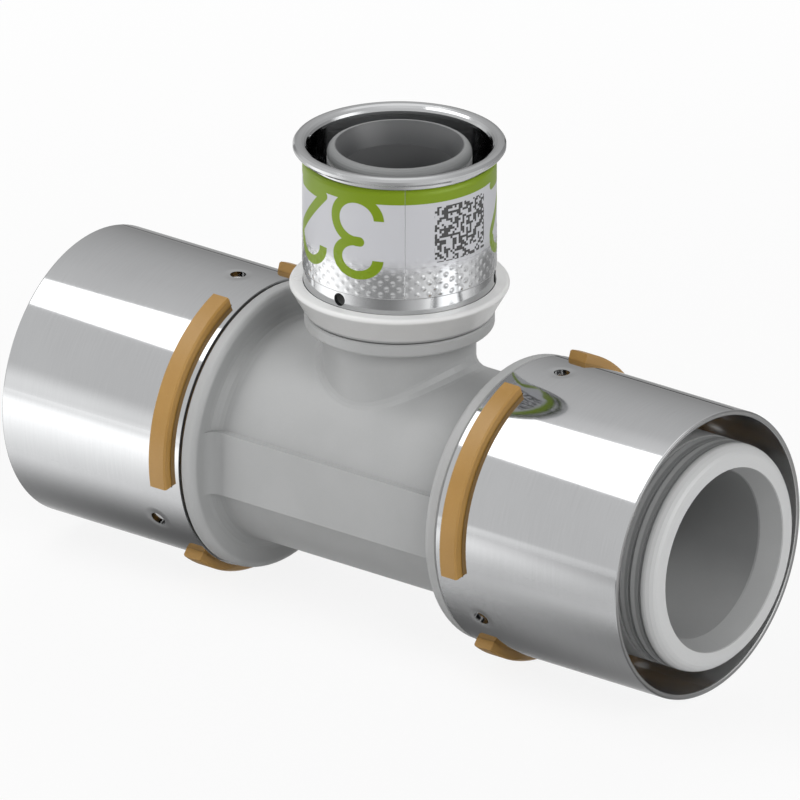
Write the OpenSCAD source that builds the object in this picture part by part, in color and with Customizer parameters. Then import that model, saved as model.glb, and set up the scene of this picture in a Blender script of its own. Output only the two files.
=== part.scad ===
// Press-fit reducing tee for multilayer pipe, 50 x 32 x 50 mm.
// The run lies along X, the branch stands along +Z, and the two axes cross at the origin.
// Angles round the run are counted from the front (-Y) upwards.
// Angles round the branch are counted from the front (-Y) towards +X.

/* [Body] */
// Outer diameter of the middle of the body
body_d = 41.1; // [40:0.1:42]
// Radius of the fillet between the body and its run flanges
body_fillet = 2.4; // [0.5:0.1:2.8]
// Height of the flat pads on the front and the back
pad_h = 12; // [6:0.5:16]
// Distance from the run axis to the face of a pad
pad_reach = 21; // [20.8:0.1:22]
// Outer diameter of the neck that carries the branch
neck_d = 27.4; // [26.8:0.1:29]
// Size of the blend between the neck and the body
neck_blend = 3; // [1:0.1:3.4]

/* [Run flanges] */
// Distance from the branch axis to the inner face of a run flange
run_flange_face = 26.2; // [25:0.1:27]
// Thickness of a run flange
run_flange_t = 2.8; // [2:0.1:3.4]
// Outer diameter of a run flange
run_flange_d = 52.6; // [50.5:0.1:53]
// Radius of the rounded rim of a run flange
run_flange_round = 1.1; // [0.3:0.1:1.6]

/* [Run nozzles] */
// Diameter of the run waterway
run_bore_d = 31; // [29:0.1:33]
// Diameter of the run waterway at its mouth
run_mouth_d = 34; // [33.2:0.1:35]
// Depth of the lead-in taper at a run mouth
run_lead = 4.5; // [2:0.1:7]
// Outer diameter of a run nozzle
run_nozzle_d = 41.8; // [41:0.1:42]
// Distance from the branch axis to the tip of a run nozzle
run_nozzle_end = 73.5; // [72:0.1:75]
// Length of the rounded nose of a run nozzle
run_nose = 2.4; // [1:0.1:2.6]
// Width of the flat ring round a run mouth
run_nose_flat = 1.7; // [0.3:0.1:2.2]

/* [Run sleeves] */
// Outer diameter of a run sleeve
run_sleeve_d = 53; // [52.6:0.1:53.6]
// Wall thickness of a run sleeve
run_sleeve_wall = 1; // [0.8:0.1:1.1]
// Distance from the branch axis to the mouth of a run sleeve
run_sleeve_end = 69.9; // [68.5:0.1:71]
// Radius of the rounded rim at the mouth of a run sleeve
run_sleeve_rim = 0.35; // [0.1:0.05:0.38]
// Visible gap between a run flange and its sleeve
run_sleeve_gap = 0.3; // [0.2:0.1:0.8]

/* [Run stop rings] */
// Length of a run stop ring
run_ring_l = 6.3; // [6.2:0.1:7]
// Outer diameter over the lugs of a run stop ring
lug_d = 56.3; // [54:0.1:58]
// Distance from the branch axis to the near end of a lug
lug_start = 31.2; // [30.8:0.1:31.4]
// Length of a lug along the run
lug_l = 3.8; // [2.5:0.1:3.8]
// Angle that one lug covers
lug_angle = 80; // [60:1:90]
// Angle of the middle of the first lug, from the front upwards
lug_first = 30; // [20:1:40]
// Number of lugs and windows round a sleeve
lug_count = 3; // [2:1:4]
// Depth of the snap bead that holds a run stop ring
bead_depth = 0.5; // [0.3:0.1:0.8]
// Length of the snap bead
bead_l = 1.6; // [1:0.1:2]

/* [Branch flange] */
// Height of the underside of the branch flange
branch_flange_z = 26.7; // [26.5:0.1:27.5]
// Thickness of the branch flange
branch_flange_t = 2.5; // [2:0.1:3]
// Outer diameter of the branch flange
branch_flange_d = 34; // [33:0.1:35]

/* [Branch nozzle] */
// Diameter of the branch waterway
branch_bore_d = 19.8; // [18:0.1:20.5]
// Diameter of the branch waterway at its mouth
branch_mouth_d = 22.8; // [21:0.1:23.4]
// Depth of the lead-in taper at the branch mouth
branch_lead = 4; // [2:0.1:6]
// Outer diameter of the branch nozzle
branch_nozzle_d = 25.9; // [25.4:0.1:26]
// Height of the tip of the branch nozzle
branch_nozzle_end = 60.9; // [59.5:0.1:61.5]
// Length of the rounded nose of the branch nozzle
branch_nose = 1.6; // [0.8:0.1:1.8]
// Width of the flat ring round the branch mouth
branch_nose_flat = 0.3; // [0.1:0.05:0.6]

/* [Branch sleeve] */
// Outer diameter of the branch sleeve
branch_sleeve_d = 34.3; // [34:0.1:34.8]
// Wall thickness of the branch sleeve
branch_sleeve_wall = 0.8; // [0.6:0.1:1]
// Height of the mouth of the branch sleeve
branch_sleeve_end = 61.75; // [61.6:0.05:63]
// Outer diameter of the rolled lip
lip_d = 38.06; // [37:0.02:39]
// Height of the rolled lip
lip_h = 1.7; // [1.6:0.1:2]
// Radius of the flare inside the rolled lip
lip_flare = 1.6; // [0.8:0.1:1.7]

/* [Branch stop ring] */
// Height of the branch stop ring
collar_h = 5.9; // [5.4:0.1:6.2]
// Outer diameter at the foot of the branch stop ring
collar_foot_d = 34.2; // [33.8:0.1:35.5]
// Outer diameter at the top of the branch stop ring
collar_top_d = 39.3; // [38:0.1:40]
// Depth of the pocket that holds the sleeve
collar_pocket = 3.6; // [2.5:0.1:4]
// Height of the shadow groove under the outer edge of the ring
collar_groove = 0.35; // [0.2:0.05:0.6]

/* [Inspection holes] */
// Diameter of an inspection hole in a run sleeve
run_hole_d = 2.9; // [2:0.1:3]
// Distance from the branch axis to the inspection holes of a run sleeve
run_hole_x = 36.8; // [36.8:0.1:38]
// Diameter of an inspection hole in the branch sleeve
branch_hole_d = 2.4; // [2:0.1:2.6]
// Height of the inspection holes of the branch sleeve
branch_hole_z = 36.6; // [36.5:0.1:37]
// Number of inspection holes round a sleeve
hole_count = 3; // [2:1:4]

/* [O-rings] */
// Thickness of a run O-ring
run_oring = 2.7; // [2.4:0.1:2.8]
// Distance from the branch axis to the inner run O-ring
run_oring_in = 46; // [42:0.5:48]
// Distance from the branch axis to the outer run O-ring
run_oring_out = 57; // [53:0.5:60]
// Thickness of a branch O-ring
branch_oring = 2; // [1.8:0.1:2.1]
// Height of the lower branch O-ring
branch_oring_low = 42; // [40:0.5:44]
// Height of the upper branch O-ring
branch_oring_high = 51; // [48:0.5:54]
// How far an O-ring stands out of its groove
oring_proud = 0.35; // [0.2:0.05:0.4]

/* [Tip ribs] */
// Depth of the recesses between the ribs near a nozzle tip
rib_depth = 0.5; // [0.2:0.05:0.6]
// Width of a recess between two ribs
rib_recess = 0.7; // [0.5:0.1:1]
// Width of a rib
rib_w = 1.6; // [0.8:0.1:1.8]
// Number of recesses near the tip of a run nozzle
run_recesses = 3; // [1:1:3]
// Number of recesses near the tip of the branch nozzle
branch_recesses = 2; // [1:1:2]

/* [Printed film] */
// Height of the lower edge of the film
film_low = 38.1; // [38:0.1:40]
// Height of the upper edge of the film
film_high = 59; // [56:0.1:59.4]
// Thickness of the film
film_t = 0.15; // [0.1:0.05:0.2]
// Angle of the film's seam, from the front towards +X
film_seam = 41.8; // [0:0.2:120]
// Width of the film's seam
film_seam_w = 0.4; // [0.2:0.1:1]

/* [Fits] */
// Clearance between a stop ring and what it sits on
ring_fit = 0.1; // [0.05:0.01:0.15]
// Clearance between a lug and its window
window_fit = 0.15; // [0.1:0.01:0.3]

/* [Hidden] */
$fn = 96;

body_r = body_d / 2;
neck_r = neck_d / 2;
run_bore_r = run_bore_d / 2;
run_nozzle_r = run_nozzle_d / 2;
run_flange_r = run_flange_d / 2;
run_flange_back = run_flange_face + run_flange_t;
run_sleeve_r = run_sleeve_d / 2;
run_sleeve_inner = run_sleeve_r - run_sleeve_wall;
run_sleeve_start = run_flange_back + run_sleeve_gap;
lug_mid = lug_start + lug_l / 2;
branch_bore_r = branch_bore_d / 2;
branch_nozzle_r = branch_nozzle_d / 2;
branch_flange_r = branch_flange_d / 2;
branch_flange_top = branch_flange_z + branch_flange_t;
branch_sleeve_r = branch_sleeve_d / 2;
branch_sleeve_inner = branch_sleeve_r - branch_sleeve_wall;
collar_top = branch_flange_top + collar_h;
branch_sleeve_start = collar_top - collar_pocket;
lip_r = lip_d / 2;
lip_low = branch_sleeve_end - lip_h;

// Small edge radii, and the steps used to draw a rounded edge
edge = 0.3;
arc_steps = 5;
// How far a cutting tool runs past the surface that it cuts
past = 1;
// How much wider an O-ring groove is than its O-ring
groove_side = 0.4;
// Steps of the blend round the neck, and across it
blend_turns = 48;
blend_steps = 4;
// How deep the back of the blend lies inside the neck and the body
blend_root = 1;
// How far the ends of the blend dip below the surfaces that they meet
blend_dip = 0.06;

// Points of an arc from one angle to another
function arc_points(centre, radius, from, to) =
    [for (i = [0 : arc_steps])
        let (a = from + (to - from) * i / arc_steps)
        centre + radius * [cos(a), sin(a)]];

// Outline of one recess in a nozzle, from its root side to its tip side
function recess(nozzle_r, middle, width, depth) =
    [[nozzle_r, middle - width / 2], [nozzle_r - depth, middle - width / 2],
     [nozzle_r - depth, middle + width / 2], [nozzle_r, middle + width / 2]];

// Depth of the groove that lets an O-ring stand out by oring_proud
function groove_depth(cord) = cord - oring_proud;

// Rounded nose of a nozzle: a quarter of an ellipse from the outside to the flat at the tip
function nose(nozzle_r, flat_r, end, length) =
    [for (i = [0 : arc_steps])
        let (a = 90 * i / arc_steps)
        [flat_r + (nozzle_r - flat_r) * cos(a), end - length + length * sin(a)]];

// The recesses that leave the ribs next to the nose
function tip_ribs(nozzle_r, nose_start, count) =
    let (last = nose_start - rib_recess / 2 - edge / 2)
    [for (i = [count - 1 : -1 : 0])
        each recess(nozzle_r, last - i * (rib_recess + rib_w), rib_recess, rib_depth)];

// Outline of a nozzle from its root to its tip, with two O-ring grooves
function nozzle_outline(nozzle_r, flat_r, end, nose_l, recesses, cord, first, second) =
    concat(
        recess(nozzle_r, first, cord + groove_side, groove_depth(cord)),
        recess(nozzle_r, second, cord + groove_side, groove_depth(cord)),
        tip_ribs(nozzle_r, end - nose_l, recesses),
        nose(nozzle_r, flat_r, end, nose_l));

// Snap bead on the root of a run nozzle, under the middle of the lugs
function bead(extra) =
    let (half = bead_l / 2 + extra)
    [[run_nozzle_r + extra, lug_mid - half - bead_depth],
     [run_nozzle_r + bead_depth + extra, lug_mid - half],
     [run_nozzle_r + bead_depth + extra, lug_mid + half],
     [run_nozzle_r + extra, lug_mid + half + bead_depth]];

// One half of the run, from the middle of the body to the tip of its nozzle
function run_half() =
    concat(
        arc_points([body_r + body_fillet, run_flange_face - body_fillet], body_fillet, 180, 90),
        arc_points([run_flange_r - run_flange_round, run_flange_face + run_flange_round],
            run_flange_round, -90, 0),
        [[run_flange_r, run_flange_back - edge], [run_flange_r - edge, run_flange_back],
         [run_nozzle_r, run_flange_back]],
        bead(0),
        nozzle_outline(run_nozzle_r, run_mouth_d / 2 + run_nose_flat, run_nozzle_end, run_nose,
            run_recesses, run_oring, run_oring_in, run_oring_out),
        [[0, run_nozzle_end]]);

function flipped(points) =
    [for (i = [len(points) - 1 : -1 : 0]) [points[i][0], -points[i][1]]];

// Turns a shape made along Z so that it lies along the run
module along_run() {
    rotate([0, 90, 0]) children();
}

// Turns a part of a run ring so that it starts at an angle from the front upwards
module from_front(angle) {
    rotate([0, 0, 270 - angle]) children();
}

// A ring with a square section, from one height to another
module ring(outer_r, inner_r, low, high, angle = 360) {
    rotate_extrude(angle = angle)
        translate([inner_r, low]) square([outer_r - inner_r, high - low]);
}

// The body with both flanges and both nozzles, still without its waterways
module run_solid() {
    along_run() rotate_extrude() polygon(concat(flipped(run_half()), run_half()));
}

// The branch from the run axis to the tip of its nozzle
module branch_solid() {
    flange = concat(
        [[0, 0], [neck_r, 0], [neck_r, branch_flange_z]],
        arc_points([branch_flange_r - 2 * edge, branch_flange_z + 2 * edge], 2 * edge, -90, 0),
        [[branch_flange_r, branch_flange_top - edge], [branch_flange_r - edge, branch_flange_top],
         [branch_nozzle_r, branch_flange_top]]);
    rotate_extrude() polygon(concat(
        flange,
        nozzle_outline(branch_nozzle_r, branch_mouth_d / 2 + branch_nose_flat, branch_nozzle_end,
            branch_nose, branch_recesses, branch_oring, branch_oring_low, branch_oring_high),
        [[0, branch_nozzle_end]]));
}

// Flat pad on one side of the body, with a fillet up each flange
module pad() {
    translate([-run_flange_face, -pad_reach, -pad_h / 2])
        cube([2 * run_flange_face, pad_reach - run_bore_r - edge, pad_h]);
    for (side = [-1, 1])
        difference() {
            translate([side * (run_flange_face - body_fillet / 2), -pad_reach - body_fillet / 2, 0])
                cube([body_fillet, body_fillet, pad_h], center = true);
            translate([side * (run_flange_face - body_fillet), -pad_reach - body_fillet, 0])
                cylinder(r = body_fillet, h = pad_h + 2 * past, center = true);
        }
}

// Height of the body's surface above a point at this distance and angle from the branch axis
function body_top(out, turn) = sqrt(body_r * body_r - pow(out * sin(turn), 2));

// Section of the blend between neck and body at one angle round the neck
function blend_section(turn) =
    let (
        corner = body_top(neck_r, turn),
        slope = atan(neck_r * pow(sin(turn), 2) / corner),
        reach = neck_blend / tan((90 + slope) / 2),
        out = neck_r + reach * cos(slope),
        high = [neck_r - blend_dip, corner + reach],
        low = [out, body_top(out, turn) - blend_dip],
        knee = [neck_r, corner])
    concat(
        [for (i = [0 : blend_steps])
            let (u = i / blend_steps)
            (1 - u) * (1 - u) * high + 2 * u * (1 - u) * knee + u * u * low],
        [low - [0, blend_root], [neck_r - blend_root, corner - blend_root],
         [neck_r - blend_root, corner + reach]]);

// Blend all round the foot of the neck, one closed ring of sections
module neck_fillet() {
    sections = [for (i = [0 : blend_turns - 1]) blend_section(i * 360 / blend_turns)];
    count = len(sections[0]);
    points = [for (i = [0 : blend_turns - 1], p = sections[i])
        let (turn = i * 360 / blend_turns)
        [p[0] * cos(turn), p[0] * sin(turn), p[1]]];
    faces = [for (i = [0 : blend_turns - 1], j = [0 : count - 1])
        let (next = (i + 1) % blend_turns, k = (j + 1) % count)
        each [[i * count + j, next * count + j, i * count + k],
            [next * count + j, next * count + k, i * count + k]]];
    polyhedron(points, faces);
}

// Lead-in taper at the mouth of the run waterway
module run_lead_in() {
    along_run() translate([0, 0, run_nozzle_end - run_lead])
        cylinder(r1 = run_bore_r, r2 = run_mouth_d / 2, h = run_lead);
}

module fitting_body() {
    color([0.69, 0.70, 0.70])
        difference() {
            union() {
                run_solid();
                branch_solid();
                neck_fillet();
                pad();
                mirror([0, 1, 0]) pad();
            }
            along_run() cylinder(r = run_bore_r, h = 2 * run_nozzle_end + 2 * past, center = true);
            run_lead_in();
            mirror([1, 0, 0]) run_lead_in();
            cylinder(r = branch_bore_r, h = branch_nozzle_end + past);
            translate([0, 0, branch_nozzle_end - branch_lead])
                cylinder(r1 = branch_bore_r, r2 = branch_mouth_d / 2, h = branch_lead);
        }
}

// Polished sleeve of a run end, with its windows and inspection holes
module run_sleeve() {
    color([0.80, 0.81, 0.82])
        along_run() difference() {
            rotate_extrude() polygon(concat(
                [[run_sleeve_inner, run_sleeve_start], [run_sleeve_r, run_sleeve_start]],
                arc_points([run_sleeve_r - run_sleeve_rim, run_sleeve_end - run_sleeve_rim],
                    run_sleeve_rim, 0, 90),
                arc_points([run_sleeve_inner + run_sleeve_rim, run_sleeve_end - run_sleeve_rim],
                    run_sleeve_rim, 90, 180)));
            for (i = [0 : lug_count - 1])
                from_front(lug_first + lug_angle / 2 + i * 360 / lug_count)
                    window_cut();
            for (i = [0 : hole_count - 1])
                from_front(90 + i * 360 / hole_count)
                    translate([run_sleeve_r, 0, run_hole_x]) rotate([0, 90, 0])
                        cylinder(d = run_hole_d, h = 4 * run_sleeve_wall, center = true);
        }
}

// Opening for one lug, wider than the lug by the window clearance all round
module window_cut() {
    side = window_fit / run_sleeve_r * 180 / PI;
    rotate([0, 0, -side])
        ring(run_sleeve_r + past, run_sleeve_inner - past, lug_start - window_fit,
            lug_start + lug_l + window_fit, lug_angle + 2 * side);
}

// Stop ring of a run end, with the lugs that stand in the windows
module run_stop_ring() {
    outer = run_sleeve_inner - ring_fit;
    inner = run_nozzle_r + ring_fit;
    end = run_flange_back + run_ring_l;
    color([0.74, 0.57, 0.30])
        along_run() union() {
            rotate_extrude() polygon(concat(
                [[inner, run_flange_back]],
                bead(ring_fit),
                [[inner, end], [outer - edge / 2, end], [outer, end - edge / 2],
                 [outer, run_flange_back]]));
            for (i = [0 : lug_count - 1])
                from_front(lug_first + lug_angle / 2 + i * 360 / lug_count)
                    rotate_extrude(angle = lug_angle) polygon([
                        [inner + (outer - inner) / 2, lug_start],
                        [lug_d / 2 - edge, lug_start],
                        [lug_d / 2, lug_start + edge],
                        [lug_d / 2, lug_start + lug_l - edge],
                        [lug_d / 2 - edge, lug_start + lug_l],
                        [inner + (outer - inner) / 2, lug_start + lug_l]]);
        }
}

// Polished sleeve of the branch, with a rolled lip and inspection holes
module branch_sleeve() {
    roll = lip_h / 2;
    flare = min(lip_flare, lip_r - roll - branch_sleeve_inner - edge / 2);
    color([0.80, 0.81, 0.82])
        difference() {
            rotate_extrude() polygon(concat(
                [[branch_sleeve_inner, branch_sleeve_start], [branch_sleeve_r, branch_sleeve_start],
                 [branch_sleeve_r, lip_low - edge], [branch_sleeve_r + edge, lip_low]],
                arc_points([lip_r - roll, lip_low + roll], roll, -90, 90),
                arc_points([branch_sleeve_inner + flare, branch_sleeve_end - flare],
                    flare, 90, 180)));
            for (i = [0 : hole_count - 1])
                rotate([0, 0, -90 + i * 360 / hole_count])
                    translate([branch_sleeve_r, 0, branch_hole_z]) rotate([0, 90, 0])
                        cylinder(d = branch_hole_d, h = 4 * branch_sleeve_wall, center = true);
        }
}

// Pale stop ring at the foot of the branch sleeve, with the pocket that the sleeve stands in
module branch_stop_ring() {
    inner = branch_nozzle_r + ring_fit;
    foot_r = collar_foot_d / 2;
    top_r = collar_top_d / 2;
    groove_in = foot_r - 4 * edge;
    foot_z = branch_flange_top + collar_groove;
    color([0.86, 0.86, 0.85])
        rotate_extrude() polygon(concat(
            [[inner, branch_flange_top], [groove_in, branch_flange_top], [groove_in, foot_z],
             [foot_r - edge / 2, foot_z], [foot_r, foot_z + edge]],
            arc_points([top_r - 2 * edge, collar_top - 2 * edge], 2 * edge, -20, 90),
            [[branch_sleeve_r + ring_fit, collar_top],
             [branch_sleeve_r + ring_fit, branch_sleeve_start],
             [branch_sleeve_inner - ring_fit, branch_sleeve_start],
             [branch_sleeve_inner - ring_fit, collar_top], [inner, collar_top]]));
}

// Thin printed film round the branch sleeve, open at its seam
module size_film() {
    seam_angle = film_seam_w / branch_sleeve_r * 180 / PI;
    color([0.83, 0.84, 0.86])
        rotate([0, 0, -90 + film_seam + seam_angle / 2])
            ring(branch_sleeve_r + film_t, branch_sleeve_r, film_low, film_high, 360 - seam_angle);
}

// O-ring that lies on the floor of its groove
module o_ring(nozzle_r, cord, at) {
    color([0.08, 0.08, 0.09])
        translate([0, 0, at]) rotate_extrude()
            translate([nozzle_r - groove_depth(cord) + cord / 2, 0]) circle(d = cord);
}

module run_o_ring(at) {
    along_run() o_ring(run_nozzle_r, run_oring, at);
}

fitting_body();
mirror([1, 0, 0]) run_sleeve();  // run_sleeve_left
run_sleeve();  // run_sleeve_right
mirror([1, 0, 0]) run_stop_ring();  // run_stop_ring_left
run_stop_ring();  // run_stop_ring_right
branch_sleeve();
branch_stop_ring();
size_film();
run_o_ring(-run_oring_in);  // run_oring_left_inner
run_o_ring(-run_oring_out);  // run_oring_left_outer
run_o_ring(run_oring_in);  // run_oring_right_inner
run_o_ring(run_oring_out);  // run_oring_right_outer
o_ring(branch_nozzle_r, branch_oring, branch_oring_low);  // branch_oring_lower
o_ring(branch_nozzle_r, branch_oring, branch_oring_high);  // branch_oring_upper
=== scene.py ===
# Looks of a press-fit reducing tee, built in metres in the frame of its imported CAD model.
# The run lies along X, the branch stands along +Z, and the front faces -Y. Named sizes are
# in millimetres, apart from the sizes and places of the studio's planes and lamps.
import math

import bpy
from mathutils import Matrix, Vector


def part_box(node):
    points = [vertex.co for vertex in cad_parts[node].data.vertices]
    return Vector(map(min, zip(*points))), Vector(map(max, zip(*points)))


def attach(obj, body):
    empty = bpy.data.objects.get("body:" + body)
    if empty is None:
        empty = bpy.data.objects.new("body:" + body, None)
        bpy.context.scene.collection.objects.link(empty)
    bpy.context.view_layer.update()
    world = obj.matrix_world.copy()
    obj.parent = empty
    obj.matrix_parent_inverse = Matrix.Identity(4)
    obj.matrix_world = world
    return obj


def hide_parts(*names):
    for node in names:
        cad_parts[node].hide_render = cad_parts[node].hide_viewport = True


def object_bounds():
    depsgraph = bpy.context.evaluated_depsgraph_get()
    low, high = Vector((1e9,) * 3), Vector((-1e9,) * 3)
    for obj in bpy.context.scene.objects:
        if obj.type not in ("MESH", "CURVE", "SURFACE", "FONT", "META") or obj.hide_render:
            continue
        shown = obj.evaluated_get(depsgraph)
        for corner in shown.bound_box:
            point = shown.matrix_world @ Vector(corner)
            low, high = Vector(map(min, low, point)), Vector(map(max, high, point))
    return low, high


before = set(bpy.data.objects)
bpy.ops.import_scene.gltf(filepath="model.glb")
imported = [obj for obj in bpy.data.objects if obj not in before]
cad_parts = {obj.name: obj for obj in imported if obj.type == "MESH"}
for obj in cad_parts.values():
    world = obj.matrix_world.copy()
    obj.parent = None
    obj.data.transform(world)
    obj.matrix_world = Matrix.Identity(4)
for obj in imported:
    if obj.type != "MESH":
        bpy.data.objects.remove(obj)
cad_low, cad_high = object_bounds()

# Fitting body: one satin moulding in grey high-temperature plastic, with its flanges, flat
# pads, neck and three nozzles. The mould leaves a fine even grain, and handling polishes the
# rims of the flanges.
MM = 0.001


class Wire:
    """An output of one material's nodes, on which plain arithmetic adds Math nodes."""

    def __init__(self, tree, socket=None):
        self.tree = tree
        self.socket = socket

    def node(self, kind, settings=None, sockets=None, out=0):
        """A new node of this kind, with its settings and the values or wires of its sockets."""
        made = self.tree.nodes.new(kind)
        for name, value in (settings or {}).items():
            setattr(made, name, value)
        for name, value in (sockets or {}).items():
            if isinstance(value, Wire):
                self.tree.links.new(value.socket, made.inputs[name])
            else:
                made.inputs[name].default_value = value
        return Wire(self.tree, made.outputs[out])

    def maths(self, operation, *values):
        return self.node("ShaderNodeMath", {"operation": operation}, dict(enumerate(values)))

    def __add__(self, other):
        return self.maths("ADD", self, other)

    def __radd__(self, other):
        return self.maths("ADD", other, self)

    def __sub__(self, other):
        return self.maths("SUBTRACT", self, other)

    def __rsub__(self, other):
        return self.maths("SUBTRACT", other, self)

    def __mul__(self, other):
        return self.maths("MULTIPLY", self, other)

    def __rmul__(self, other):
        return self.maths("MULTIPLY", other, self)

    def __truediv__(self, other):
        return self.maths("DIVIDE", self, other)

    def __gt__(self, other):
        return self.maths("GREATER_THAN", self, other)

    def __lt__(self, other):
        return self.maths("LESS_THAN", self, other)

    def __abs__(self):
        return self.maths("ABSOLUTE", self)

    def rise(self, low, high):
        """0 below low, 1 above high, with a smooth slope between; high below low turns it round."""
        return self.node("ShaderNodeMapRange", {"interpolation_type": "SMOOTHSTEP"},
                         {"Value": self, "From Min": low, "From Max": high})

    def blend(self, first, second):
        """A colour that goes from first to second as this mask goes from 0 to 1."""
        return self.node("ShaderNodeMix", {"data_type": "RGBA"},
                         {0: self, 6: rgba(first), 7: rgba(second)}, out=2)

    def noise(self, size_mm, stretch=(1, 1, 1), detail=2.0):
        """Noise from 0 to 1 in spots of this size, longer by stretch along each axis."""
        scale = tuple(1 / factor for factor in stretch)
        spread = self.node("ShaderNodeMapping", {}, {"Vector": self.place(), "Scale": scale})
        return self.node("ShaderNodeTexNoise", {},
                         {"Vector": spread, "Scale": 1 / (size_mm * MM), "Detail": detail})

    def place(self):
        return self.node("ShaderNodeTexCoord", {}, {}, out=3)

    def axes_mm(self):
        """The three object coordinates in millimetres."""
        split = self.node("ShaderNodeSeparateXYZ", {}, {0: self.place()})
        return [Wire(self.tree, out) / MM for out in split.socket.node.outputs]

    def bump(self):
        """The normal of a surface that this height in millimetres lifts."""
        return self.node("ShaderNodeBump", {}, {"Distance": MM, "Height": self})


def rgba(colour):
    return colour if isinstance(colour, Wire) else (*colour, 1)


def length(first, second):
    """The distance from zero of a point with these two coordinates."""
    return first.maths("SQRT", first * first + second * second)


def either(*masks):
    """A mask that is 1 wherever one of these is 1."""
    whole = masks[0]
    for mask in masks[1:]:
        whole = whole.maths("MAXIMUM", whole, mask)
    return whole


class Finish:
    """A new material: settings go on its shader, and a Wire given for a socket is linked."""

    def __init__(self, name):
        self.material = bpy.data.materials.new(name)
        self.material.use_nodes = True
        self.tree = self.material.node_tree
        self.shader = self.tree.nodes["Principled BSDF"]
        self.wire = Wire(self.tree)

    def set(self, **sockets):
        for name, value in sockets.items():
            socket = self.shader.inputs[name.replace("_", " ")]
            if isinstance(value, Wire):
                self.tree.links.new(value.socket, socket)
            else:
                socket.default_value = rgba(value) if isinstance(value, tuple) else value
        return self.material


def dress(node, material):
    """Puts a material on all the slots of a CAD node."""
    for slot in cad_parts[node].material_slots:
        slot.material = material


BODY_GREY = (0.4, 0.405, 0.405)
BODY_PALE = (0.44, 0.445, 0.445)
# Colours of painted light: a painted highlight on the run noses, and painted shade in the grooves,
# on the branch nose, in the bores and in the flange corners.
NOSE_PAINTED_LIGHT = (0.6, 0.605, 0.605)
NOSE_SIDE_PAINTED_LIGHT = (0.56, 0.565, 0.565)
PAINTED_SHADE_GREY = (0.25, 0.255, 0.255)
BRANCH_NOSE_PAINTED_SHADE = (0.22, 0.225, 0.225)
BORE_PAINTED_SHADE = (0.09, 0.092, 0.094)
BORE_PAINTED_SHADE_LIGHTER = (0.13, 0.132, 0.134)
LEAD_IN_PAINTED_SHADE = (0.07, 0.072, 0.074)
LEAD_IN_PAINTED_SHADE_LIGHTER = (0.12, 0.122, 0.124)
CORNER_PAINTED_SHADE = (0.32, 0.325, 0.325)
WEAR_SHARE = 0.3
CORNER_SHADE_SHARE = 0.9
SHADE_SHARE = 0.45
MARK_BLUR = 0.15
FLANGE_CORNER = (22.6, 25.2)
FLANGE_FACE = 26.2
FLANGE_BACK = 30
FLANGE_RIM = (25.6, 26.2)
UNDER_RIM = (25.6, 24.8)
NOSE_START = (71.1, 71.7)
NOSE_INSIDE = 16.9
NOSE_ROUND = (19, 20.4)
OUTER_GROOVE = (69.6, 70.95)
INNER_GROOVE = (67.3, 68.65)
GROOVE_FLOOR = 18
RUN_BORE = 15.6
BORE_SHADE_Z = (-15, -4)
BRANCH_BORE = 11.55
BRANCH_FOOT_Z = 20.6
DEEP_Z = 49.9
LEAD_IN_Z = 56.9
BRANCH_NOSE_Z = (58.8, 59.2)
BRANCH_TIP_Z = 60.9


def body_marks(wire, tint):
    """The rims of the flanges are polished paler. The noses of the run carry a painted highlight,
    and painted shade darkens the corners of the flanges, the grooves, the bores and the branch
    nose."""
    x, y, z = wire.axes_mm()
    out = length(y, z)
    reach = abs(x)
    worn = out.rise(*FLANGE_RIM) * (reach < FLANGE_BACK)
    # Painted shade in the corners between the flanges and the body.
    corner = reach.rise(*FLANGE_CORNER) * (reach < FLANGE_FACE + 2 * MARK_BLUR)
    corner = corner * out.rise(*UNDER_RIM)
    # Painted highlight on the noses of the run nozzles.
    nose = reach.rise(*NOSE_START) * (out > NOSE_INSIDE)
    # Painted shade in the grooves of the run nozzles.
    grooves = [reach.rise(low - MARK_BLUR, low + MARK_BLUR)
               * reach.rise(high + MARK_BLUR, high - MARK_BLUR)
               for low, high in (OUTER_GROOVE, INNER_GROOVE)]
    groove_shade = either(*grooves) * (out > GROOVE_FLOOR)
    # Painted shade in the run bore, darker in its upper part.
    bore = (out < RUN_BORE) * z.rise(*BORE_SHADE_Z)
    # Painted shade fills the branch bore, lighter towards its mouth.
    branch_bore = (length(x, y) < BRANCH_BORE) * (z > BRANCH_FOOT_Z)
    lead_in = z.rise(LEAD_IN_Z, BRANCH_TIP_Z).blend(LEAD_IN_PAINTED_SHADE, LEAD_IN_PAINTED_SHADE_LIGHTER)
    deep = z.rise(DEEP_Z, LEAD_IN_Z).blend(BORE_PAINTED_SHADE, BORE_PAINTED_SHADE_LIGHTER)
    tint = (worn * WEAR_SHARE).blend(tint, BODY_PALE)
    tint = (corner * CORNER_SHADE_SHARE).blend(tint, CORNER_PAINTED_SHADE)
    tint = nose.blend(tint, out.rise(*NOSE_ROUND).blend(NOSE_PAINTED_LIGHT, NOSE_SIDE_PAINTED_LIGHT))
    tint = groove_shade.blend(tint, PAINTED_SHADE_GREY)
    # Painted shade on the nose of the branch nozzle.
    tint = z.rise(*BRANCH_NOSE_Z).blend(tint, BRANCH_NOSE_PAINTED_SHADE)
    tint = (bore * SHADE_SHARE).blend(tint, BORE_PAINTED_SHADE)
    return branch_bore.blend(tint, (z > LEAD_IN_Z).blend(deep, lead_in))


CLOUD_SIZE = 9
SPECK_SIZE = 0.35
GRAIN_SIZE = 0.22
GRAIN_HEIGHT = 0.006


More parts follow.
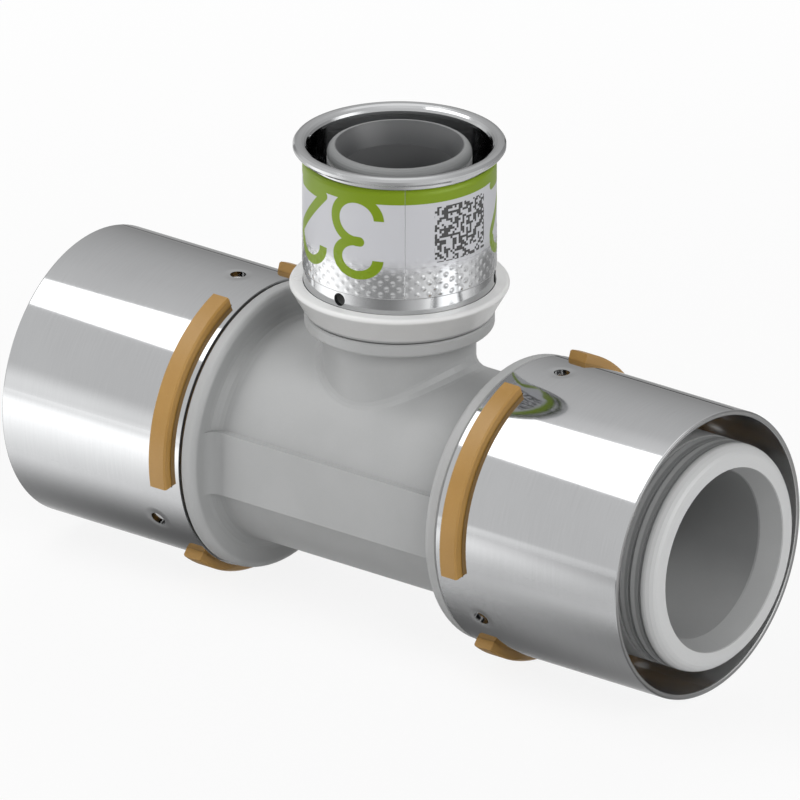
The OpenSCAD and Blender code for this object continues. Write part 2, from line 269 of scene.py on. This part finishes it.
def moulded_plastic(name, colour, pale, roughness=0.38, marks=None):
    """Satin moulding: faint clouds and specks in the colour, a fine grain, and the marks that a
    piece has at its own places: wear, painted highlights and painted shade."""
    made = Finish(name)
    wire = made.wire
    clouds = wire.noise(CLOUD_SIZE, detail=3.0)
    specks = wire.noise(SPECK_SIZE, detail=1.0)
    mask = clouds.rise(0.3, 0.7) * 0.5 + specks.rise(0.55, 0.75) * 0.25
    tint = mask.blend(colour, pale)
    if marks:
        tint = marks(wire, tint)
    grain = wire.noise(GRAIN_SIZE) * GRAIN_HEIGHT
    return made.set(Base_Color=tint, Roughness=roughness + clouds * 0.08,
                    Normal=grain.bump(), Specular_IOR_Level=0.45)


dress("fitting_body", moulded_plastic("body_plastic", BODY_GREY, BODY_PALE, marks=body_marks))

# O-rings: six moulded rings of black rubber in the grooves of the nozzles, greased so that
# the pipe slides over them.
RUBBER = (0.012, 0.012, 0.013)
RUBBER_PALE = (0.03, 0.03, 0.032)
BLOOM_SIZE = 1.2
BLOOM_HEIGHT = 0.01


def rubber():
    """Black rubber with a faint bloom."""
    made = Finish("black_rubber")
    bloom = made.wire.noise(BLOOM_SIZE, detail=3.0)
    return made.set(Base_Color=bloom.rise(0.4, 0.8).blend(RUBBER, RUBBER_PALE),
                    Roughness=0.3 + bloom * 0.2, Normal=(bloom * BLOOM_HEIGHT).bump())


black_rubber = rubber()
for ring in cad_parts:
    if "oring" in ring:
        dress(ring, black_rubber)

# Run stop rings: ochre plastic mouldings that hold the run sleeves. Three lugs on each stand
# in the windows of the sleeve, so that their colour tells the pipe size.
OCHRE = (0.39, 0.212, 0.048)
OCHRE_PALE = (0.45, 0.255, 0.07)

ochre_plastic = moulded_plastic("ochre_plastic", OCHRE, OCHRE_PALE, roughness=0.34)
for side in ("left", "right"):
    dress(f"run_stop_ring_{side}", ochre_plastic)

# Run sleeves: drawn stainless steel tube, polished, with punched windows and inspection
# holes. Polishing leaves very fine lines round the tube.
STEEL = (0.435, 0.44, 0.445)
STEEL_PALE = (0.46, 0.465, 0.47)
STEEL_INSIDE_PAINTED_LIGHT = (0.76, 0.76, 0.76)
CUT_END_PAINTED_SHADE = (0.2, 0.2, 0.2)
LINE_SIZE = 6
LINE_THIN = 0.03
LINE_HEIGHT = 0.0004
SHEEN_SIZE = 14
RUN_OUTSIDE = 26.5
RUN_INSIDE = (25.9, 25.6)
SLEEVE_MOUTH = max(abs(edge.x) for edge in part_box("run_sleeve_right")) / MM
CUT_FADE = (-0.2, -0.05)
HOLES_ROUND = 3
HOLE_X = 36.8
DRAWN_IN = (1.2, 2.9)
DRAWN_DEPTH = 0.16


def polished_steel(name, along, roughness=0.05):
    """Polished tube: very fine lines run round it. The inside of a run sleeve is less polished and
    painted paler, a painted lift of light in the shaded gap; the cut end of a run sleeve is
    rougher, with a painted shade on it; and the metal round its punched inspection holes is drawn
    in a little."""
    made = Finish(name)
    wire = made.wire
    stretch = tuple(LINE_THIN if axis == along else 1 for axis in "xyz")
    lines = wire.noise(LINE_SIZE, stretch)
    sheen = wire.noise(SHEEN_SIZE)
    tint = (lines * 0.5 + sheen * 0.5).rise(0.3, 0.7).blend(STEEL, STEEL_PALE)
    rough = roughness + lines * 0.03
    height = lines * LINE_HEIGHT
    metal = 1.0
    if along == "x":
        x, y, z = wire.axes_mm()
        # The inside of a run sleeve is rougher and painted paler, a painted lift of light in the
        # shaded gap.
        inside = length(y, z).rise(*RUN_INSIDE)
        # The cut end of a run sleeve is rougher, with a painted shade on it.
        cut = (abs(x) - SLEEVE_MOUTH).rise(*CUT_FADE)
        tint = inside.blend(tint, STEEL_INSIDE_PAINTED_LIGHT)
        tint = cut.blend(tint, CUT_END_PAINTED_SHADE)
        rough = rough + cut * 0.25 + inside * 0.1
        metal = 1 - inside * 0.1
        share = 2 * math.pi / HOLES_ROUND
        turn = wire.maths("WRAP", wire.maths("ARCTAN2", y, z) / share, 0.5, -0.5)
        off = length(turn * (share * RUN_OUTSIDE), abs(x) - HOLE_X)
        height = height + off.rise(*DRAWN_IN) * DRAWN_DEPTH
    return made.set(Base_Color=tint, Metallic=metal, Roughness=rough, Normal=height.bump())


run_steel = polished_steel("run_sleeve_steel", "x")
for side in ("left", "right"):
    dress(f"run_sleeve_{side}", run_steel)

# Branch stop ring: a pale moulded collar that holds the foot of the branch sleeve in its
# pocket and shows all round as a rounded rim.
COLLAR = (0.58, 0.58, 0.575)
COLLAR_PALE = (0.63, 0.63, 0.625)
COLLAR_PAINTED_HIGHLIGHT = (0.82, 0.82, 0.815)
COLLAR_EDGE = (33.9, 34.7)
COLLAR_FOOT = (30.2, 29.7)
FOOT_SHADE_SHARE = 0.8


def collar_marks(wire, tint):
    """The upper edge of the collar carries a painted highlight, and its foot a painted shadow."""
    height = wire.axes_mm()[2]
    # Painted highlight along the upper edge of the collar.
    tint = height.rise(*COLLAR_EDGE).blend(tint, COLLAR_PAINTED_HIGHLIGHT)
    # Painted shadow at the foot of the collar.
    return (height.rise(*COLLAR_FOOT) * FOOT_SHADE_SHARE).blend(tint, PAINTED_SHADE_GREY)


dress("branch_stop_ring",
      moulded_plastic("pale_plastic", COLLAR, COLLAR_PALE, roughness=0.22, marks=collar_marks))

# Branch sleeve: the same polished steel, with a rolled lip at its mouth and three punched
# inspection holes just above the collar.
dress("branch_sleeve", polished_steel("branch_sleeve_steel", "z", 0.1))

# Size film: thin plastic film wrapped once round the branch sleeve, embossed with rows of
# small dots near its foot, where it is clear. Above that it has a pale ground, a green band,
# the pipe size in plain figures that read from above, and a block of random dark cells.
film_low, film_high = (edge.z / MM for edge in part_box("size_film"))
film_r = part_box("size_film")[1].y / MM
FILM_T = 0.14
SEAM = 41.8
SEAM_GAP = 0.07
DOTS_ROUND = 50
DOT_STEPS = 16
ROW_STEPS = 8
DOT_SHARE = 0.3
DOT_HEIGHT = 0.065
DOTS_LOW = 38.9
DOTS_HIGH = 45.4
PRINT_GREEN = (0.2, 0.3, 0.004)
PRINT_GROUND = (0.6, 0.605, 0.635)
PRINT_DARK = (0.06, 0.06, 0.06)
dot_pitch = 2 * math.pi * film_r / DOTS_ROUND
row_pitch = dot_pitch / 2


def dot_rise(column, height):
    """Height of the film's dots, in rows that are set half a pitch apart."""
    row = (height - DOTS_LOW) / row_pitch
    rows = round((DOTS_HIGH - DOTS_LOW) / row_pitch)
    best = 0
    for near in (math.floor(row), math.ceil(row)):
        if 0 <= near <= rows:
            across = (column / DOT_STEPS + near / 2) % 1
            across = min(across, 1 - across) * dot_pitch
            up = (row - near) * row_pitch
            best = max(best, 1 - math.hypot(across, up) / (DOT_SHARE * dot_pitch))
    return DOT_HEIGHT * (1 - math.cos(best * math.pi)) / 2


def film_mesh():
    """A closed thin shell: the dotted outside, the plain inside and the edges between them."""
    gap = SEAM_GAP / film_r
    columns = DOTS_ROUND * DOT_STEPS
    heights = [film_low]
    while heights[-1] < DOTS_HIGH + dot_pitch:
        heights.append(heights[-1] + row_pitch / ROW_STEPS)
    plain = film_high - heights[-1]
    heights += [heights[-1] + plain * i / ROW_STEPS for i in range(1, ROW_STEPS + 1)]
    points = []
    faces = []
    for column in range(columns + 1):
        turn = math.radians(SEAM) + gap / 2 + (2 * math.pi - gap) * column / columns
        ray = (math.sin(turn), -math.cos(turn))
        outside = [(film_r + dot_rise(column, z), z) for z in heights]
        inside = [(film_r - FILM_T, film_high), (film_r - FILM_T, film_low)]
        points += [(r * ray[0] * MM, r * ray[1] * MM, z * MM) for r, z in outside + inside]
    ring = len(heights) + 2
    for column in range(columns):
        for i in range(ring):
            j = (i + 1) % ring
            a, b = column * ring, (column + 1) * ring
            faces.append((a + i, b + i, b + j, a + j))
    faces.append(tuple(range(ring)))
    faces.append(tuple(reversed(range(columns * ring, (columns + 1) * ring))))
    mesh = bpy.data.meshes.new("printed_film")
    mesh.from_pydata(points, [], faces)
    mesh.validate()
    for face in mesh.polygons:
        face.use_smooth = len(face.vertices) == 4
    return mesh


STROKE = 1.85
STROKE_EDGE = (STROKE / 2 + 0.05, STROKE / 2 - 0.05)


def arc_stroke(u, v, centre, radii):
    """Mask of a stroke along an ellipse."""
    across = (u - centre[0]) / radii[0]
    up = (v - centre[1]) / radii[1]
    off = abs(length(across, up) - 1) * ((radii[0] + radii[1]) / 2)
    return off.rise(*STROKE_EDGE)


def line_stroke(u, v, start, end):
    """Mask of a straight stroke with round ends."""
    run = (end[0] - start[0], end[1] - start[1])
    share = ((u - start[0]) * run[0] + (v - start[1]) * run[1]) / (run[0] ** 2 + run[1] ** 2)
    share = share.maths("MINIMUM", share.maths("MAXIMUM", share, 0), 1)
    off = length(u - start[0] - share * run[0], v - start[1] - share * run[1])
    return off.rise(*STROKE_EDGE)


BAR_V = 48.6
BAR_LENGTH = 0.7
THREE_U = 3.6
THREE_UPPER = (4.35, 4.1)
THREE_LOWER = (4, 3.2)
THREE_SHIFT = 0.15
THREE_ENDS = (45.3, 52.9)
TWO_MIDDLE = (-8.1, 45.7)
TWO_BOWL = (4.2, 3.6)
TWO_NECK = (-11.7, 47.4)
TWO_SLOPE = ((-11.95, 47.2), (-3.8, 55.4))
TWO_FOOT = ((-12.3, 55.5), (-3.7, 55.5))


def figures(u, v):
    """The figures 3 and 2 turned upside down, on the unrolled film: u round it, v up it."""
    upper = arc_stroke(u, v, (THREE_U, BAR_V + THREE_UPPER[1]), THREE_UPPER)
    upper = upper * (1 - (u > THREE_U) * (v < THREE_ENDS[1]))
    lower = arc_stroke(u, v, (THREE_U + THREE_SHIFT, BAR_V - THREE_LOWER[1]), THREE_LOWER)
    lower = lower * (1 - (u > THREE_U) * (v > THREE_ENDS[0]))
    bar = line_stroke(u, v, (THREE_U, BAR_V), (THREE_U + BAR_LENGTH, BAR_V))
    bowl = arc_stroke(u, v, TWO_MIDDLE, TWO_BOWL) * (v < TWO_NECK[1])
    bowl = bowl * (1 - (v > TWO_MIDDLE[1]) * (u > TWO_NECK[0]))
    slope = line_stroke(u, v, *TWO_SLOPE)
    foot = line_stroke(u, v, *TWO_FOOT)
    return either(upper, lower, bar, bowl, slope, foot)


BAND_LOW = 56.2
BACK_TURN = math.radians(150)
CELL = 0.44
BLOCK_U = (18.0, 29.7)
BLOCK_V = (44.7, 55.3)
CLEAR_FADE = (46.2, 42)


def printed_film():
    """The print and the clear foot of the film, with figures at its front and its back."""
    made = Finish("printed_film")
    wire = made.wire
    x, y, z = wire.axes_mm()
    half_round = math.pi * film_r
    u = wire.maths("ARCTAN2", x, 0 - y) * film_r
    back = wire.maths("WRAP", u - BACK_TURN * film_r, half_round, -half_round)
    green = either(z > BAND_LOW, figures(u, z), figures(back, z))
    block = (u > BLOCK_U[0]) * (u < BLOCK_U[1]) * (z > BLOCK_V[0]) * (z < BLOCK_V[1])
    grid = wire.node("ShaderNodeCombineXYZ", {}, {0: wire.maths("FLOOR", u / CELL),
                                                  1: wire.maths("FLOOR", z / CELL)})
    random_cell = wire.node("ShaderNodeTexWhiteNoise", {"noise_dimensions": "2D"}, {"Vector": grid})
    dark = block * (random_cell > 0.5)
    clear = z.rise(*CLEAR_FADE)
    ink = either(green, dark)
    ground = clear.blend(PRINT_GROUND, STEEL_PALE)
    colour = dark.blend(green.blend(ground, PRINT_GREEN), PRINT_DARK)
    bare = clear * (1 - ink)
    return made.set(Base_Color=colour, Metallic=bare, Roughness=0.36 - bare * 0.18,
                    Specular_IOR_Level=0.25, Coat_Weight=0.05, Coat_Roughness=0.15)


film = bpy.data.objects.new("printed_film", film_mesh())
bpy.context.scene.collection.objects.link(film)
film.data.materials.append(printed_film())
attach(film, "root")
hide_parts("size_film")

# Studio: a plain pale floor that the lugs rest on, an even white surround, one large soft
# box overhead on the left, three faint fills, and cards that only reflections see: some lie
# just above the floor, and some stand and face the part.
floor_z = cad_low.z
FLOOR_SIDE = 16
FLOOR_NEAR = 0.87
FLOOR_FADE = (120, 420)
FLOOR_PAINT = (0.85, 0.85, 0.85)
BEHIND_FADE = (400, 900)
BEHIND_GREY = (0.4, 0.4, 0.4)
WHITE = (1, 1, 1)


def stage_plane(name, centre, size, turn=0.0):
    """A flat stage piece, with its middle at centre."""
    mesh = bpy.data.meshes.new(name)
    corners = [(x * size[0] / 2, y * size[1] / 2, 0)
               for x, y in ((-1, -1), (1, -1), (1, 1), (-1, 1))]
    mesh.from_pydata(corners, [], [(0, 1, 2, 3)])
    plane = bpy.data.objects.new(name, mesh)
    bpy.context.scene.collection.objects.link(plane)
    plane.location = centre
    plane.rotation_euler.z = turn
    return plane


def seen_rays(wire):
    """1 for rays from the camera, from a reflection or through glass, else 0."""
    paths = [wire.node("ShaderNodeLightPath", {}, {}, out=name)
             for name in ("Is Camera Ray", "Is Glossy Ray", "Is Transmission Ray")]
    return either(*paths)


def floor_material():
    """White to the eye, with the part's shadow near it, and grey behind it in reflections."""
    made = Finish("studio_floor")
    wire = made.wire
    x, y = wire.axes_mm()[:2]
    far = length(x, y).rise(*FLOOR_FADE)
    behind = y.rise(*BEHIND_FADE) * wire.node("ShaderNodeLightPath", {}, {}, out="Is Glossy Ray")
    made.set(Base_Color=FLOOR_PAINT, Roughness=0.9, Specular_IOR_Level=0.0)
    glow = wire.node("ShaderNodeEmission", {}, {"Color": behind.blend(WHITE, BEHIND_GREY)})
    white = wire.node("ShaderNodeMixShader", {}, {
        0: seen_rays(wire) * (FLOOR_NEAR + far * (1 - FLOOR_NEAR)),
        1: Wire(made.tree, made.shader.outputs[0]), 2: glow})
    made.tree.links.new(white.socket, made.tree.nodes["Material Output"].inputs["Surface"])
    return made.material


def card_material(name, strength, spread, even_part=0.1):
    """Light that is even in the middle of a card and fades to nothing at its edges."""
    made = Finish(name)
    wire = made.wire
    x, y = wire.axes_mm()[:2]
    fade = length(x / spread[0], y / spread[1]).rise(1.0, even_part)
    glow = wire.node("ShaderNodeEmission", {}, {"Color": rgba(WHITE), "Strength": strength})
    clear = wire.node("ShaderNodeBsdfTransparent", {}, {})
    mixed = wire.node("ShaderNodeMixShader", {}, {0: fade, 1: clear, 2: glow})
    made.tree.links.new(mixed.socket, made.tree.nodes["Material Output"].inputs["Surface"])
    return made.material


floor = stage_plane("studio_floor", (0, 0, floor_z), (FLOOR_SIDE, FLOOR_SIDE))
floor.data.materials.append(floor_material())


def reflected_only(piece):
    """A card that is seen in reflections and nowhere else."""
    piece.visible_camera = False
    piece.visible_diffuse = False
    piece.visible_shadow = False
    piece.visible_transmission = False


CARD_STEP = 0.0002
card_lift = 2 * CARD_STEP
for card_name, middle, spread_mm, card_strength, turn_degrees in (
        ("far_left_card", (-0.235, -0.29), (400, 130), 1.8, 54.6),
        ("front_left_card", (-0.13, -0.105), (180, 98), 2.4, 0),
        ("front_right_card", (0.075, -0.17), (165, 102), 0.38, 0),
        ("right_card", (0.175, -0.01), (70, 90), 2.3, 0),
        ("far_right_card", (0.44, -0.18), (200, 170), 3.2, 0),
        ("near_right_card", (0.16, 0.085), (50, 45), 1.6, 0),
        ("back_right_card", (0.06, 0.165), (105, 85), 0.33, 0),
        ("far_back_card", (-0.3, 0.6), (560, 470), 0.05, 0),
        ("back_card", (-0.13, 0.25), (330, 260), 0.35, 0),
        ("under_card", (0, -0.0175), (200, 20), 0.15, 0),
        ("under_right_card", (0.075, -0.031), (85, 24), 0.42, 0)):
    card = stage_plane(card_name, (*middle, floor_z + card_lift),
                       tuple(2 * MM * side for side in spread_mm), math.radians(turn_degrees))
    card_lift += CARD_STEP
    card.data.materials.append(card_material(card_name, card_strength, spread_mm))
    reflected_only(card)

for card_name, middle, spread_mm, card_strength, even in (
        ("right_side_card", (0.5, 0.07, 0.17), (380, 170), 5.2, 0.3),
        ("left_side_card", (-0.5, -0.19, 0.08), (130, 90), 3.6, 0.3),
        ("left_glow_card", (-0.25, -0.27, 0.0), (100, 75), 1.5, 0.1),
        ("top_card", (-0.05, 0.07, 0.8), (480, 480), 1.5, 0.6)):
    card = stage_plane(card_name, middle, tuple(2 * MM * side for side in spread_mm))
    card.rotation_euler = Vector(middle).to_track_quat("Z", "Y").to_euler()
    card.data.materials.append(card_material(card_name, card_strength, spread_mm, even))
    reflected_only(card)

BOX_SIZE = 0.46
BOX_PLACE = Vector((-0.336, -0.245, 0.6))
BOX_TURN = math.radians(-61)
BOX_LEVEL = 2.4
box = bpy.data.lights.new("overhead_box", "AREA")
box.shape = "SQUARE"
box.size = BOX_SIZE
box.energy = BOX_LEVEL * math.pi * BOX_SIZE ** 2
overhead = bpy.data.objects.new("overhead_box", box)
overhead.location = BOX_PLACE
overhead.rotation_euler.z = BOX_TURN
bpy.context.scene.collection.objects.link(overhead)

FILL_SPREAD = math.radians(35)
for fill_name, aim, fill_level in (
        ("right_fill", (0.75, -0.33, 0.55), 0.42),
        ("left_fill", (-0.7, -0.6, 0.4), 0.2),
        ("back_fill", (-0.3, 0.8, 0.4), 0.25)):
    sun = bpy.data.lights.new(fill_name, "SUN")
    sun.angle = FILL_SPREAD
    sun.energy = fill_level * math.pi
    fill = bpy.data.objects.new(fill_name, sun)
    fill.rotation_euler = Vector(aim).to_track_quat("Z", "Y").to_euler()
    fill.visible_glossy = False
    bpy.context.scene.collection.objects.link(fill)

SURROUND_LEVEL = 0.3
BACK_RAYS = (-0.1, 0.35)
BACK_LEVEL = 0.36
BACK_SLOPE = 0.68
world = bpy.data.worlds.new("studio_surround")
bpy.context.scene.world = world
world.use_nodes = True
sky = Wire(world.node_tree)
surround = world.node_tree.nodes["Background"]
surround.inputs["Color"].default_value = rgba(WHITE)
level = SURROUND_LEVEL + seen_rays(sky) * (1 - SURROUND_LEVEL)
ray = sky.node("ShaderNodeTexCoord", {}, {}, out=0)
ray_y = sky.node("ShaderNodeSeparateXYZ", {}, {0: ray}, out=1)
ray_z = sky.node("ShaderNodeSeparateXYZ", {}, {0: ray}, out=2)
dim_back = ray_y.rise(*BACK_RAYS) * sky.node("ShaderNodeLightPath", {}, {}, out="Is Glossy Ray")
back_level = sky.maths("MINIMUM", BACK_LEVEL + abs(ray_z) * BACK_SLOPE, 1)
level = level * (1 - dim_back * (1 - back_level))
world.node_tree.links.new(level.socket, surround.inputs["Strength"])

# Camera: a very long lens, because the picture is all but parallel, turned to the
# photograph's angles and set so that the part fills the same square frame.
CAMERA_TURN = math.radians(38.4934)
CAMERA_RISE = math.radians(22.5376)
FRAME_PIXELS = 800
PIXELS_PER_MM = 5.6095
LENS = 1500
SENSOR = 36
AIM_RIGHT = 0.0894
AIM_UP = 10.8241
right = Vector((math.cos(CAMERA_TURN), math.sin(CAMERA_TURN), 0))
ahead = Vector((-math.sin(CAMERA_TURN) * math.cos(CAMERA_RISE),
                math.cos(CAMERA_TURN) * math.cos(CAMERA_RISE), -math.sin(CAMERA_RISE)))
up = right.cross(ahead)
distance = FRAME_PIXELS / PIXELS_PER_MM * MM * LENS / SENSOR
lens = bpy.data.cameras.new("product_camera")
lens.lens = LENS
lens.sensor_width = SENSOR
lens.clip_start = 0.1
lens.clip_end = 100
camera = bpy.data.objects.new("product_camera", lens)
stand = (right * AIM_RIGHT + up * AIM_UP) * MM - ahead * distance
turned = Matrix((right, up, -ahead)).transposed().to_4x4()
camera.matrix_world = Matrix.Translation(stand) @ turned
bpy.context.scene.collection.objects.link(camera)
bpy.context.scene.camera = camera
bpy.context.scene.view_settings.view_transform = "Standard"
